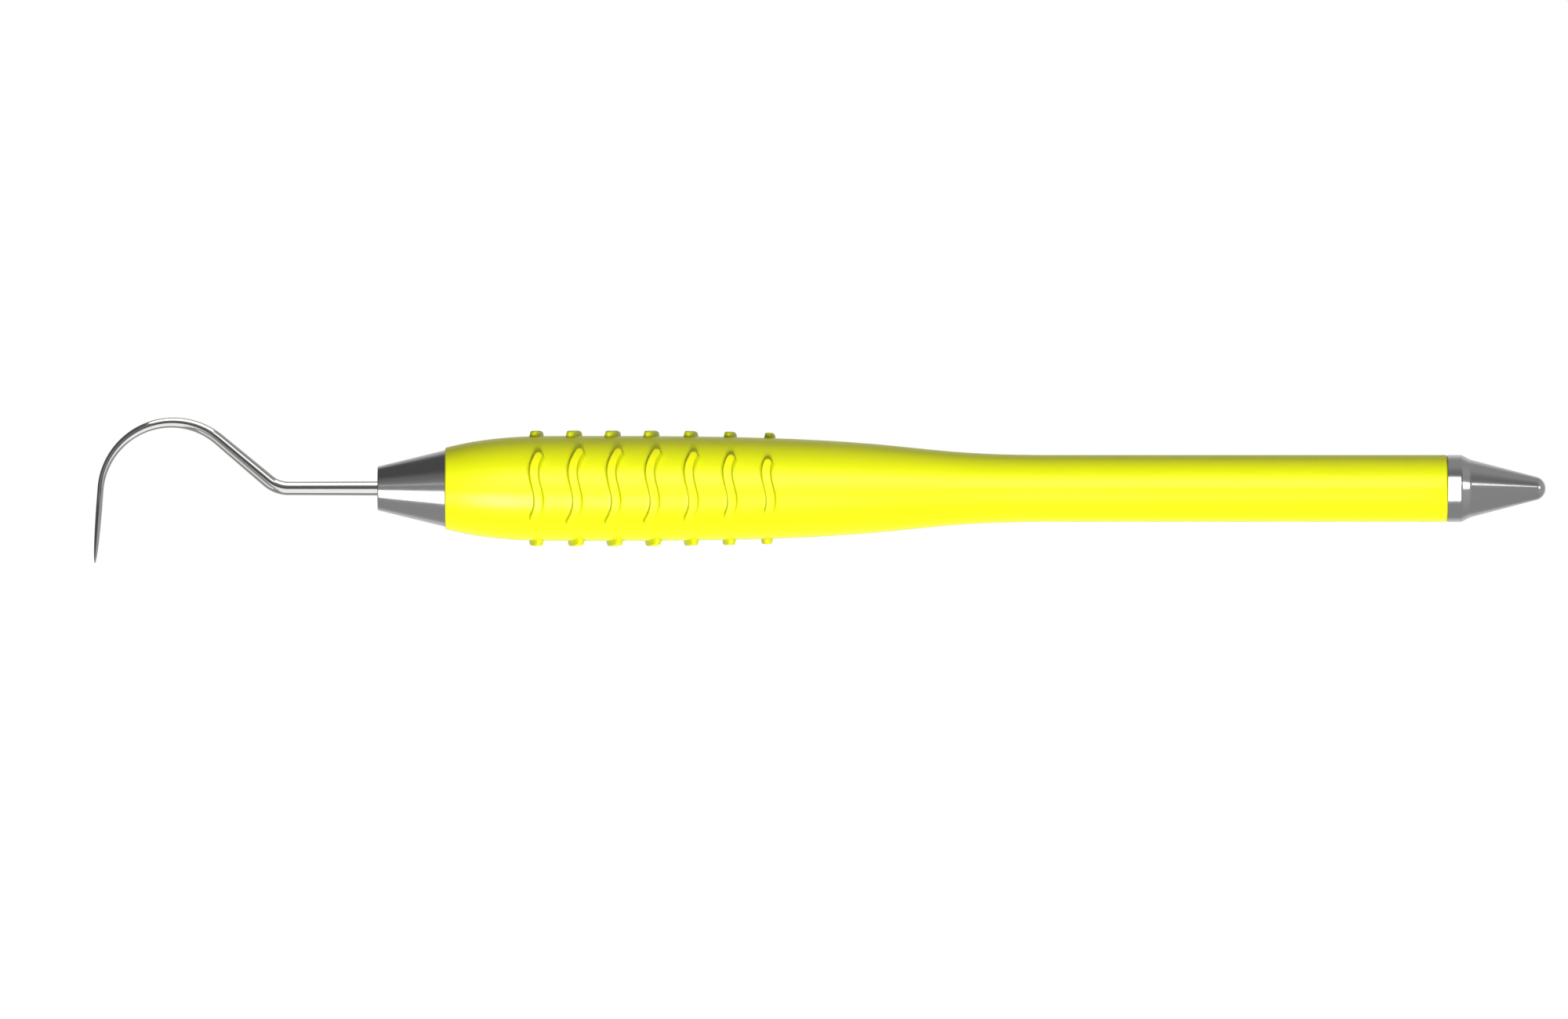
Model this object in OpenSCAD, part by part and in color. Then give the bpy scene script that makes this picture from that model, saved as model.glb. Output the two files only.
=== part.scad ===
// Hand scaler: a hooked steel working end and a conical end cap, screwed into a ribbed sleeved handle.
// The handle's axis is X, with the hook towards -X and lying in the XY plane. +Z is up, in millimetres.
// The origin is on the axis, in the middle of the straight rear shaft. Stations are distances along the
// axis from the sleeve's front face, growing towards the end cap.

/* [Sleeve] */
// Length of the sleeve, from its front face to its rear face
sleeve_len = 119.75; // [112:0.25:130]
// Radius of the lip at the front face
lip_r = 4.86; // [4.8:0.02:5.2]
// Largest radius, under the fingers
belly_r = 6.27; // [5.8:0.01:7]
// Radius of the straight rear shaft
shaft_r = 4; // [3.9:0.05:4.3]
// Length over which the lip swells out to the belly
swell_len = 13.5; // [11:0.5:16]
// Power of the swelling curve, a higher one being blunter
swell_power = 2.5; // [2:0.1:3.5]
// Station at which the belly starts to narrow into the neck
neck_start = 20; // [17:0.5:24]
// Station at which the neck has become the straight shaft
neck_end = 72.25; // [66:0.25:78]
// How far the neck keeps along the belly before it falls away
neck_pull_front = 38; // [30:0.5:42]
// How far the neck runs into the line of the shaft
neck_pull_rear = 19.25; // [12:0.25:24]
// Rounding of the sleeve's end edges
lip_round = 0.25; // [0.1:0.05:0.3]

/* [Ribs] */
// Number of rows of ribs around the sleeve
rib_rows = 3; // [2:1:3]
// Half of the angle that each rib of a row spans, from the front rib to the rear one
rib_half_angles = [38.5, 43.5, 43.5, 43, 39.5, 36, 31]; // [30:0.5:45]
// Turn of the first row away from straight up
rib_turn = 2; // [0:1:10]
// Station of the first rib
rib_first = 10.8; // [9:0.1:12]
// Spacing of the ribs along the sleeve
rib_pitch = 4.62; // [4:0.02:5]
// Width of a rib
rib_w = 1.08; // [0.8:0.02:1.4]
// Height of a rib above the sleeve
rib_h = 0.65; // [0.4:0.05:0.9]
// How far a rib sways to each side of its station
rib_sway = 0.56; // [0.3:0.02:0.8]
// Angle round the sleeve in which a rib's sway repeats
rib_wave = 80; // [70:5:120]
// How far a rib leans towards the rear over that angle
rib_lean = 1.2; // [0:0.1:1.6]

/* [Hook] */
// Radius of the wire where it leaves the cone
wire_r = 0.86; // [0.75:0.01:1]
// Radius of the wire at its first bend
bend_wire_r = 0.815; // [0.7:0.005:0.9]
// Radius of the wire where the blade starts
blade_r = 0.375; // [0.3:0.005:0.5]
// Length from the cone's front face to the corner of the first bend
shank_len = 12; // [8:0.5:16]
// Angle by which the wire rises from the axis
rise_angle = 40; // [30:1:50]
// Radius of the first bend
bend_r = 3.75; // [3:0.25:5]
// Length from the first bend's corner to the start of the arch
slant_len = 9.1; // [7:0.1:12]
// Radius of the arch
arch_r = 8.62; // [7:0.02:10]
// Angle from the wire's rise over the arch to the blade
arch_angle = 125.7; // [110:0.1:140]
// Length of the blade
blade_len = 8.85; // [6:0.05:11]
// Depth of the wire's tang in the cone
tang_len = 7; // [5:0.5:7.5]

/* [Front cone] */
// Length of the cone
cone_len = 8.1; // [7:0.1:10]
// Radius of the cone's front face
cone_front_r = 2.61; // [2.2:0.01:3]
// Radius of the cone's base
cone_base_r = 4.59; // [4.2:0.01:4.7]

/* [End cap] */
// Length of the cap's straight collar
collar_len = 1.7; // [1:0.1:3]
// Length of the bevel behind the collar
bevel_len = 1.05; // [0.6:0.05:1.6]
// Radius at the small end of the bevel
bevel_r = 3.45; // [3.2:0.05:3.7]
// Length of the whole cap outside the handle
cap_len = 11.75; // [9:0.25:14]
// Radius of the rounded nose
nose_r = 1.43; // [1:0.01:1.8]

/* [Threads, bushes and core] */
// Outside radius of the spigots' thread
thread_r = 2; // [1.75:0.25:2]
// Length of each spigot
spigot_len = 8; // [6:0.5:9]
// Running clearance between moving pieces
running_gap = 0.05; // [0.03:0.01:0.08]
// Radius of a seal's round section
seal_section_r = 0.4; // [0.3:0.05:0.4]
// Thickness of the bushes' flanges
flange_t = 0.9; // [0.9:0.1:1.4]
// Radius of the front bush's flange
front_flange_r = 3.9; // [3.6:0.05:4]
// Length of each bush
bush_len = 10; // [9:0.5:12]
// Outside radius of the core tube
tube_r = 3.25; // [3.2:0.05:3.4]
// Wall of the core tube
tube_wall = 0.5; // [0.3:0.05:0.5]
// Share of the sleeve's swell that the former under it fills
former_share = 0.72; // [0.5:0.02:0.8]
// Station at which the former ends
former_end = 60; // [50:1:62]

/* [Hidden] */

steel = "#9a9b9d";
soft_yellow = "#f6fb22";
seal_black = "#26282a";
former_grey = "#c9c6bd";

round_fn = 96;
origin_station = (neck_end + sleeve_len) / 2;

// Sleeve outline -------------------------------------------------------------------------------------
swell_steps = 10;
neck_steps = 18;
lip_steps = 3;
former_steps = 20;

function swell_radius(s) = lip_r + (belly_r - lip_r) * (1 - pow(1 - s / swell_len, swell_power));

// One coordinate of a cubic curve with end values a, d and handle values b, c
function cubic(a, b, c, d, t) =
    a * pow(1 - t, 3) + 3 * b * t * pow(1 - t, 2) + 3 * c * t * t * (1 - t) + d * pow(t, 3);
function neck_station(t) =
    cubic(neck_start, neck_start + neck_pull_front, neck_end - neck_pull_rear, neck_end, t);
function neck_radius(t) = cubic(belly_r, belly_r, shaft_r, shaft_r, t);

// The curve parameter at a station of the neck, by halving the interval
function neck_t(s, low = 0, high = 1, halvings = 14) =
    let (mid = (low + high) / 2)
    halvings == 0 ? mid
        : neck_station(mid) < s ? neck_t(s, mid, high, halvings - 1)
        : neck_t(s, low, mid, halvings - 1);

function sleeve_radius(s) =
    s < swell_len ? swell_radius(s)
        : s < neck_start ? belly_r
        : s < neck_end ? neck_radius(neck_t(s))
        : shaft_r;

// Radius of the former and of the sleeve's inside over it
function former_radius(s) = tube_r + former_share * (sleeve_radius(s) - shaft_r);

front_edge = [for (i = [0:lip_steps])
    let (a = 90 * i / lip_steps)
    [swell_radius(lip_round) - lip_round * (1 - sin(a)), lip_round * (1 - cos(a))]];
swell_line = [for (i = [1:swell_steps])
    let (s = lip_round + (swell_len - lip_round) * i / swell_steps)
    [swell_radius(s), s]];
neck_line = [for (i = [0:neck_steps])
    let (t = i / neck_steps)
    [neck_radius(t), neck_station(t)]];
rear_edge = [for (i = [0:lip_steps])
    let (a = 90 * i / lip_steps)
    [shaft_r - lip_round * (1 - cos(a)), sleeve_len - lip_round * (1 - sin(a))]];
outer_line = concat(front_edge, swell_line, neck_line, rear_edge);
former_line = [for (i = [0:former_steps])
    let (s = flange_t + (former_end - flange_t) * i / former_steps)
    [former_radius(s), s]];
function reversed(list) = [for (i = [len(list) - 1:-1:0]) list[i]];

// Hook path ------------------------------------------------------------------------------------------
// A heading is the angle of the wire's direction above -X, and the arch lowers it from rise_angle.
bend_tangent = bend_r * tan(rise_angle / 2);
bend_start = [-cone_len - shank_len + bend_tangent, 0];
bend_end = bend_start + bend_r * [-sin(rise_angle), 1 - cos(rise_angle)];
slant_run = slant_len - bend_tangent;
arch_start = bend_end + slant_run * [-cos(rise_angle), sin(rise_angle)];
arch_centre = arch_start - arch_r * [sin(rise_angle), cos(rise_angle)];
blade_heading = rise_angle - arch_angle;
blade_start = arch_centre + arch_r * [sin(blade_heading), cos(blade_heading)];
taper_len = slant_run + arch_r * arch_angle * PI / 180;

wire_sides = 24;
bend_rings = 6;
slant_rings = 4;
arch_rings = 28;
blade_rings = 12;
taper_power = 1.2;
tip_power = 2.5;

// Radius of the wire at a length past the first bend
function taper_radius(run) = bend_wire_r - (bend_wire_r - blade_r) * pow(run / taper_len, taper_power);
function tip_radius(v) = blade_r * sqrt(1 - pow(v, tip_power));

// Rings of the wire, each [place in the plane, heading, radius], from the tang to just before the point
tang_end = [-cone_len + tang_len, 0];
straight_rings = [[tang_end, 0, wire_r], [[-cone_len, 0], 0, wire_r]];
bend_list = [for (i = [0:bend_rings])
    let (a = rise_angle * i / bend_rings)
    [bend_start + bend_r * [-sin(a), 1 - cos(a)], a, bend_wire_r]];
slant_list = [for (i = [1:slant_rings])
    let (run = slant_run * i / slant_rings)
    [bend_end + run * [-cos(rise_angle), sin(rise_angle)], rise_angle, taper_radius(run)]];
arch_list = [for (i = [1:arch_rings])
    let (turned = arch_angle * i / arch_rings, a = rise_angle - turned)
    [arch_centre + arch_r * [sin(a), cos(a)], a, taper_radius(slant_run + arch_r * turned * PI / 180)]];
blade_list = [for (i = [1:blade_rings - 1])
    let (v = sin(90 * i / blade_rings))
    [blade_start + v * blade_len * [-cos(blade_heading), sin(blade_heading)], blade_heading, tip_radius(v)]];
wire_rings = concat(straight_rings, bend_list, slant_list, arch_list, blade_list);
tip_point = blade_start + blade_len * [-cos(blade_heading), sin(blade_heading)];

function ring_points(ring) = [for (k = [0:wire_sides - 1])
    let (a = 360 * k / wire_sides, across = ring[2] * cos(a))
    [ring[0].x + across * sin(ring[1]), ring[0].y + across * cos(ring[1]), ring[2] * sin(a)]];

// End cap --------------------------------------------------------------------------------------------
bevel_station = sleeve_len + collar_len + bevel_len;
nose_centre = sleeve_len + cap_len - nose_r;
cap_slope = atan2(bevel_r, nose_centre - bevel_station)
    - asin(nose_r / norm([bevel_r, nose_centre - bevel_station]));
nose_steps = 8;
nose_line = [for (i = [0:nose_steps])
    let (a = 90 - cap_slope - (90 - cap_slope) * i / nose_steps)
    [nose_r * sin(a), nose_centre + nose_r * cos(a)]];

// Spigots --------------------------------------------------------------------------------------------
seal_ring_r = thread_r - 2 * running_gap + seal_section_r + running_gap;
neck_r = thread_r - 2 * running_gap;
seal_seat_r = seal_ring_r + seal_section_r + running_gap;
bush_r = tube_r - tube_wall;
edge_cut = 0.3;

// Outline of a spigot from its shoulder inwards; side is 1 into the front end and -1 into the rear end
function spigot_line(face, side) = [
    [neck_r, face],
    [neck_r, face + side * flange_t],
    [thread_r, face + side * (flange_t + running_gap)],
    [thread_r, face + side * (spigot_len - edge_cut)],
    [thread_r - edge_cut, face + side * spigot_len],
    [0, face + side * spigot_len]];

// A solid turned about the handle's axis, from [radius, station] points
module turned(outline) {
    translate([-origin_station, 0, 0]) rotate([0, 90, 0]) rotate_extrude($fn = round_fn) polygon(outline);
}

// A straight round hole about the handle's axis, between two stations
module bore(r, from, to) {
    translate([from - origin_station, 0, 0]) rotate([0, 90, 0]) cylinder(r = r, h = to - from, $fn = round_fn);
}

module hook_wire() {
    rings = len(wire_rings);
    points = concat([for (ring = wire_rings) each ring_points(ring)], [[tip_point.x, tip_point.y, 0]]);
    tang_face = [for (k = [wire_sides - 1:-1:0]) k];
    sides = [for (i = [0:rings - 2], k = [0:wire_sides - 1])
        let (next = (k + 1) % wire_sides, a = i * wire_sides, b = a + wire_sides)
        [a + k, a + next, b + next, b + k]];
    last = (rings - 1) * wire_sides;
    point_faces = [for (k = [0:wire_sides - 1]) [last + k, last + (k + 1) % wire_sides, rings * wire_sides]];
    color(steel) translate([-origin_station, 0, 0])
        polyhedron(points = points, faces = concat([tang_face], sides, point_faces));
}

module front_cone() {
    color(steel) difference() {
        turned(concat(
            [[0, -cone_len], [cone_front_r - edge_cut / 2, -cone_len], [cone_front_r, -cone_len + edge_cut / 2]],
            [[cone_base_r, 0]],
            spigot_line(0, 1)));
        bore(wire_r, -cone_len - 1, -cone_len + tang_len);
    }
}

module seal(station) {
    color(seal_black) translate([station - origin_station, 0, 0]) rotate([0, 90, 0])
        rotate_extrude($fn = round_fn) translate([seal_ring_r, 0]) circle(r = seal_section_r, $fn = 48);
}

module front_seal() {
    seal(flange_t / 2);
}

module rear_seal() {
    seal(sleeve_len - flange_t / 2);
}

// A flanged bush with a seat for the seal; side is 1 in the front end and -1 in the rear end
module bush(face, side, flange_r) {
    color(steel) turned([
        [seal_seat_r, face],
        [flange_r, face],
        [flange_r, face + side * flange_t],
        [bush_r, face + side * flange_t],
        [bush_r, face + side * bush_len],
        [thread_r + running_gap, face + side * bush_len],
        [thread_r + running_gap, face + side * flange_t],
        [seal_seat_r, face + side * flange_t]]);
}

module front_bush() {
    bush(0, 1, front_flange_r);
}

module rear_bush() {
    bush(sleeve_len, -1, tube_r);
}

module core_tube() {
    color(steel) difference() {
        bore(tube_r, flange_t, sleeve_len - flange_t);
        bore(bush_r, flange_t - 1, sleeve_len - flange_t + 1);
    }
}

module grip_former() {
    color(former_grey) turned(concat([[tube_r, flange_t]], former_line, [[tube_r, former_end]]));
}

// One rib: an S-shaped wall standing on the sleeve's top, its ends rounded, cut to height by a cone frustum
module rib(station, half_angle) {
    reach = half_angle - asin(rib_w / 2 / belly_r);
    steps = 12;
    base_r = sleeve_radius(station);
    span = 2;
    middle = [for (i = [0:steps])
        let (a = reach * (2 * i / steps - 1))
        [station + rib_lean * a / rib_wave - rib_sway * sin(360 * a / rib_wave), base_r * sin(a)]];
    end_steps = 4;
    outline = concat(
        [for (p = middle) p - [rib_w / 2, 0]],
        [for (i = [1:end_steps - 1])
            middle[steps] + rib_w / 2 * [-cos(180 * i / end_steps), sin(180 * i / end_steps)]],
        [for (p = reversed(middle)) p + [rib_w / 2, 0]],
        [for (i = [1:end_steps - 1])
            middle[0] + rib_w / 2 * [cos(180 * i / end_steps), -sin(180 * i / end_steps)]]);
    intersection() {
        translate([-origin_station, 0, 0]) linear_extrude(height = 2 * belly_r) polygon(outline);
        translate([station - span - origin_station, 0, 0]) rotate([0, 90, 0]) difference() {
            cylinder(r1 = sleeve_radius(station - span) + rib_h, r2 = sleeve_radius(station + span) + rib_h,
                h = 2 * span, $fn = round_fn);
            cylinder(r = base_r - rib_h, h = 2 * span, $fn = round_fn);
        }
    }
}

module grip_sleeve() {
    color(soft_yellow) {
        turned(concat(outer_line,
            [[tube_r, sleeve_len], [tube_r, former_end]],
            reversed(former_line),
            [[front_flange_r, flange_t], [front_flange_r, 0]]));
        for (row = [0:rib_rows - 1], i = [0:len(rib_half_angles) - 1])
            rotate([-rib_turn - 360 / rib_rows * row, 0, 0])
                rib(rib_first + rib_pitch * i, rib_half_angles[i]);
    }
}

module end_cap() {
    color(steel) turned(concat(
        [[shaft_r - edge_cut / 2, sleeve_len], [shaft_r, sleeve_len + edge_cut / 2]],
        [[shaft_r, sleeve_len + collar_len], [bevel_r, bevel_station]],
        nose_line,
        reversed(spigot_line(sleeve_len, -1))));
}

hook_wire();
front_cone();
front_seal();
front_bush();
core_tube();
grip_former();
grip_sleeve();
rear_bush();
rear_seal();
end_cap();
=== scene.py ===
"""Hand scaler: a hooked steel working end and a conical end cap, screwed into a ribbed silicone handle.

The handle's axis is X, with the hook towards -X and lying in the XY plane, and +Z is up. Stations are
distances along the axis from the sleeve's front face, growing towards the end cap. All sizes are in metres.
"""

import math

import bpy
import numpy as np
from bpy.props import FloatProperty, FloatVectorProperty, IntProperty, PointerProperty
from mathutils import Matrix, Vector


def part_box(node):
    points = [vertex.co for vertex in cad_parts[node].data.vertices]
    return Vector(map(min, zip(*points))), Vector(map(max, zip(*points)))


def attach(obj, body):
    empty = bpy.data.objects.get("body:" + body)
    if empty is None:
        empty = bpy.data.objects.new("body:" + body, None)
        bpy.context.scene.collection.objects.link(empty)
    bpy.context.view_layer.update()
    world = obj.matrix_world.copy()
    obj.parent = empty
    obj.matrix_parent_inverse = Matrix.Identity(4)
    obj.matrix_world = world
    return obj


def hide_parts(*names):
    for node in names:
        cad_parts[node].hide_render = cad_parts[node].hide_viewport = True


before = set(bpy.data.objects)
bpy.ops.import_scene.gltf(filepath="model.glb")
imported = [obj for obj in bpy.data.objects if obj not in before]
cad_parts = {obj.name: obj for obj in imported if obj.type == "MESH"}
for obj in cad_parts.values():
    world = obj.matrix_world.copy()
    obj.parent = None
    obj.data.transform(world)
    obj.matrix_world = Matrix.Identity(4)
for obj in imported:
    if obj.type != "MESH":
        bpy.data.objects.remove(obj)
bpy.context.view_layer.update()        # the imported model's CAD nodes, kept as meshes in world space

bl_info = {
    "name": "Hand scaler",
    "version": (1, 0, 0),
    "blender": (4, 5, 0),
    "location": "3D View > Sidebar > Scaler",
    "description": "Builds a hand scaler with a ribbed silicone handle around its packed design",
    "category": "Object",
}

MM = 0.001
FRONT_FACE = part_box("grip_sleeve")[0].x
REAR_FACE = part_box("grip_sleeve")[1].x
SLEEVE_LENGTH = REAR_FACE - FRONT_FACE
CONE_LENGTH = FRONT_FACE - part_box("front_cone")[0].x
SPIGOT_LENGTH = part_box("front_cone")[1].x - FRONT_FACE
CAP_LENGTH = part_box("end_cap")[1].x - REAR_FACE
CONE_BASE_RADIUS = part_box("front_cone")[1].y
SHAFT_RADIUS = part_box("end_cap")[1].y
TUBE_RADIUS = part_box("core_tube")[1].y
FLANGE_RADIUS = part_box("front_bush")[1].y
BUSH_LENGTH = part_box("front_bush")[1].x - FRONT_FACE
FLANGE_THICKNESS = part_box("core_tube")[0].x - FRONT_FACE
FORMER_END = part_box("grip_former")[1].x - FRONT_FACE

TUBE_WALL = 0.5 * MM
EDGE_HOLD = 0.1 * MM     # how far beside a sharp edge an extra ring stands, to keep the faces there flat
THREAD_START = FLANGE_THICKNESS + EDGE_HOLD
THREAD_END = SPIGOT_LENGTH - EDGE_HOLD


# Colours and sizes ------------------------------------------------------------------------------------

def linear(hex_colour):
    """A colour written as sRGB hex, as the linear red, green, blue and alpha that the shaders work in."""
    srgb = np.array([int(hex_colour[i:i + 2], 16) for i in (1, 3, 5)]) / 255
    rgb = np.where(srgb <= 0.04045, srgb / 12.92, ((srgb + 0.055) / 1.055) ** 2.4)
    return (*rgb.tolist(), 1.0)


def length(name, description, millimetres):
    """A length that the user may change, with its default given in millimetres."""
    return FloatProperty(name=name, description=description, default=millimetres * MM, unit="LENGTH",
                         subtype="DISTANCE", precision=5)


def angle(name, description, degrees):
    """An angle that the user may change, with its default given in degrees."""
    return FloatProperty(name=name, description=description, default=math.radians(degrees), unit="ROTATION",
                         subtype="ANGLE")


def colour(name, description, hex_colour):
    """A colour that the user may change, with its default given as sRGB hex."""
    return FloatVectorProperty(name=name, description=description, default=linear(hex_colour), size=4,
                               subtype="COLOR", min=0, max=1)


class SleeveSizes(bpy.types.PropertyGroup):
    lip_radius: length("Lip radius", "Radius of the sleeve at its front face", 4.86)
    belly_radius: length("Belly radius", "Largest radius, under the fingers", 6.27)
    swell_length: length("Swell length", "Length over which the lip swells out to the belly", 13.5)
    swell_power: FloatProperty(name="Swell power", description="Bluntness of the swell", default=2.5)
    neck_start: length("Neck start", "Station at which the belly starts to narrow", 20)
    neck_end: length("Neck end", "Station at which the shaft is straight", 72.25)
    pull_front: length("Front pull", "How far the neck keeps along the belly", 38)
    pull_rear: length("Rear pull", "How far the neck runs into the line of the shaft", 19.25)
    lip_round: length("Lip rounding", "Rounding of the end edges", 0.25)
    former_share: FloatProperty(name="Former share", description="Share of the swell that the former fills",
                                default=0.72)


class RibSizes(bpy.types.PropertyGroup):
    rows: IntProperty(name="Rows", description="Rows of ribs around the sleeve", default=3)
    first: length("First rib", "Station of the first rib", 10.9)
    pitch: length("Pitch", "Spacing of the ribs along the sleeve", 4.62)
    width: length("Width", "Width of a rib at half its height", 1.14)
    draft: length("Draft", "How much wider a rib is at its foot than at its top, for the mould", 0.08)
    height: length("Height", "Height of a rib above the sleeve", 0.65)
    edge_round: length("Edge rounding", "Rounding of a rib's top edge", 0.17)
    foot_round: length("Foot rounding", "Fillet at a rib's foot", 0.05)
    end_spread: FloatProperty(name="End spread", description="How much wider the edge and wall are at an end",
                              default=0.9)
    turn: angle("Turn", "Turn of the first row away from straight up", 2)
    wave: angle("Wave", "Angle round the sleeve in which a rib's sway repeats", 80)
    sway: length("Sway", "How far a rib sways to each side of its station", 0.56)
    lean: length("Lean", "How far a rib leans to the rear over one wave", 1.2)


class HookSizes(bpy.types.PropertyGroup):
    wire_radius: length("Wire radius", "Radius of the wire where it leaves the cone", 0.86)
    bend_wire_radius: length("Radius at the bend", "Radius of the wire at its first bend", 0.815)
    blade_radius: length("Blade radius", "Radius of the wire where the blade starts", 0.375)
    shank_length: length("Shank length", "From the cone's front face to the first corner", 12)
    rise: angle("Rise", "Angle by which the wire rises from the axis", 40)
    bend_radius: length("Bend radius", "Radius of the first bend", 3.75)
    slant_length: length("Slant length", "From the first corner to the start of the arch", 9.1)
    arch_radius: length("Arch radius", "Radius of the arch", 8.62)
    arch_turn: angle("Arch turn", "Angle through which the arch turns", 125.7)
    blade_length: length("Blade length", "Length of the ground blade", 8.85)
    tang_length: length("Tang length", "Depth of the wire in the cone", 7)


class TurnedSizes(bpy.types.PropertyGroup):
    cone_front_radius: length("Cone front radius", "Radius of the front cone's small face", 2.61)
    collar_length: length("Collar length", "Length of the cap's straight collar", 1.7)
    bevel_length: length("Bevel length", "Length of the bevel behind the collar", 1.05)
    bevel_radius: length("Bevel radius", "Radius at the small end of the bevel", 3.45)
    nose_radius: length("Nose radius", "Radius of the rounded nose", 1.43)
    thread_radius: length("Thread radius", "Outside radius of the spigots' thread", 2)
    thread_pitch: length("Thread pitch", "Travel of the thread in one turn", 0.7)
    thread_depth: length("Thread depth", "Height of the thread's ridge", 0.4)
    running_gap: length("Running gap", "Clearance between moving pieces", 0.05)
    seal_section: length("Seal section", "Radius of a seal's round section", 0.4)


class Finishes(bpy.types.PropertyGroup):
    silicone: colour("Silicone", "Colour of the sleeve", "#F6FB12")
    silicone_shade: colour("Silicone shade", "Deeper colour in the sleeve's faint clouding", "#EFF60E")
    # Painted highlight: a brighter yellow laid on the ribs' flat tops
    silicone_painted_highlight: colour("Silicone crown", "Cleaner colour, on the ribs' rubbed tops", "#FFFF14")
    # Painted shade: a deeper yellow laid on the ribs' walls and feet
    silicone_painted_shade: colour("Silicone crease", "Deepest colour, on the ribs' walls and feet", "#CDD202")
    wire: colour("Wire", "Colour of the polished stainless wire", "#CFCFCD")
    turned: colour("Turned steel", "Colour of the turned stainless pieces", "#C6C6C6")
    tube: colour("Tube steel", "Colour of the drawn tube and bushes", "#BDBBB6")
    seal: colour("Seal", "Colour of the seal rubber", "#1D1E20")
    former: colour("Former", "Colour of the former's polymer", "#CBC5B4")


class StageSettings(bpy.types.PropertyGroup):
    lens: FloatProperty(name="Lens", description="Focal length of the camera in millimetres", default=1000)
    frame_width: length("Frame width", "Width that the camera takes in at the handle's axis", 187.4)
    look_station: length("Look station", "Station at the middle of the frame", 40.48)
    look_height: length("Look height", "Place across the handle at the middle of the frame", -2.52)
    floor: colour("Floor", "Colour of the pale floor", "#FFFFFF")
    floor_matt: colour("Matt floor", "Colour of the light that the floor throws back", "#B4B4B4")
    softbox: FloatProperty(name="Softbox", description="Radiance of the main softboxes seen in the steel",
                           default=2.4)
    key: FloatProperty(name="Key", description="Radiance of the key light", default=42.0)


class ScalerSettings(bpy.types.PropertyGroup):
    sleeve: PointerProperty(type=SleeveSizes)
    ribs: PointerProperty(type=RibSizes)
    hook: PointerProperty(type=HookSizes)
    turned: PointerProperty(type=TurnedSizes)
    finishes: PointerProperty(type=Finishes)
    stage: PointerProperty(type=StageSettings)


# Surfaces ---------------------------------------------------------------------------------------------

def smoothstep(low, high, x):
    """0 below low and 1 above high, with t * t * (3 - 2 t) between them."""
    t = np.clip((x - low) / (high - low), 0, 1)
    return t * t * (3 - 2 * t)


def skin(name, rows, ring=False):
    """Closed mesh over a grid of points, where rows[i, j] is point j of ring i.

    Each quad joins points j and j + 1 of ring i to the same points of ring i + 1, and the last point of a
    ring joins its first. With ring=True the last ring joins the first too, as on a tube with a wall.
    Otherwise a fan of triangles closes each end ring on its middle. Faces are turned to point outwards by
    the sign of the volume. The UV map's U is the share of a turn and V the millimetres along the rings.
    """
    n, m = rows.shape[:2]
    i = np.arange(n if ring else n - 1)[:, None]
    j = np.arange(m)[None, :]
    corners = [i * m + j, i * m + (j + 1) % m, (i + 1) % n * m + (j + 1) % m, (i + 1) % n * m + j]
    quads = np.stack(corners, -1).reshape(-1, 4)
    points = rows.reshape(-1, 3)
    along = np.concatenate([[0], np.cumsum(np.linalg.norm(np.diff(rows[:, 0], axis=0), axis=1))]) / MM
    along = np.append(along, along[-1])
    share = np.broadcast_to(j / m, (len(i), m))
    low, high = (np.broadcast_to(along[k][:, None], (len(i), m)) for k in (i[:, 0], i[:, 0] + 1))
    quad_uv = np.stack([np.stack([share, share + 1 / m, share + 1 / m, share], -1),
                        np.stack([low, low, high, high], -1)], -1).reshape(-1, 4, 2)
    a, b, c, d = (points[quads[:, k]] for k in range(4))
    volume = np.einsum("ij,ij->", a, np.cross(b, c)) + np.einsum("ij,ij->", a, np.cross(c, d))
    fans = np.empty((0, 3), int)
    if not ring:
        points = np.concatenate([points, [rows[0].mean(0), rows[-1].mean(0)]])
        first = np.stack([j[0], np.full(m, n * m), (j[0] + 1) % m], -1)
        last = np.stack([(n - 1) * m + (j[0] + 1) % m, np.full(m, n * m + 1), (n - 1) * m + j[0]], -1)
        fans = np.concatenate([first, last])
    if volume < 0:
        quads, quad_uv, fans = quads[:, ::-1], quad_uv[:, ::-1], fans[:, ::-1]
    mesh = bpy.data.meshes.new(name)
    mesh.from_pydata(points.tolist(), [], quads.tolist() + fans.tolist())
    fan_uv = np.zeros((fans.size, 2))
    uv = mesh.uv_layers.new(name="UVMap")
    uv.data.foreach_set("uv", np.concatenate([quad_uv.reshape(-1, 2), fan_uv]).astype(np.float32).ravel())
    mesh.polygons.foreach_set("use_smooth", np.ones(len(mesh.polygons), bool))
    mesh.update()
    piece = bpy.data.objects.new(name, mesh)
    bpy.context.scene.collection.objects.link(piece)
    return piece


def rounded(corners, steps=6, hold=1.5):
    """Outline of [station, radius] points through corners, each (station, radius, reach).

    The line runs straight between corners. It leaves it at reach before a corner and joins the next one at
    reach after it, along the parabola (1-t)^2 p0 + 2 t (1-t) p + t^2 p1. One more point on each side, at
    hold times the reach, keeps the rounding's shading off the straight part. Reach 0 keeps the corner.
    """
    points = np.array([c[:2] for c in corners], float)
    line = [points[:1]]
    t = np.linspace(0, 1, steps)[:, None]
    for k, (_, _, reach) in list(enumerate(corners))[1:-1]:
        back, ahead = points[k - 1] - points[k], points[k + 1] - points[k]
        back, ahead = back / np.linalg.norm(back), ahead / np.linalg.norm(ahead)
        start, stop = points[k] + back * reach, points[k] + ahead * reach
        curve = (1 - t) ** 2 * start + 2 * t * (1 - t) * points[k] + t ** 2 * stop
        holds = points[k] + hold * reach * np.stack([back, ahead])
        line.append(np.concatenate([holds[:1], curve, holds[1:]]) if reach else points[k:k + 1])
    return np.concatenate(line + [points[-1:]])


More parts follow.
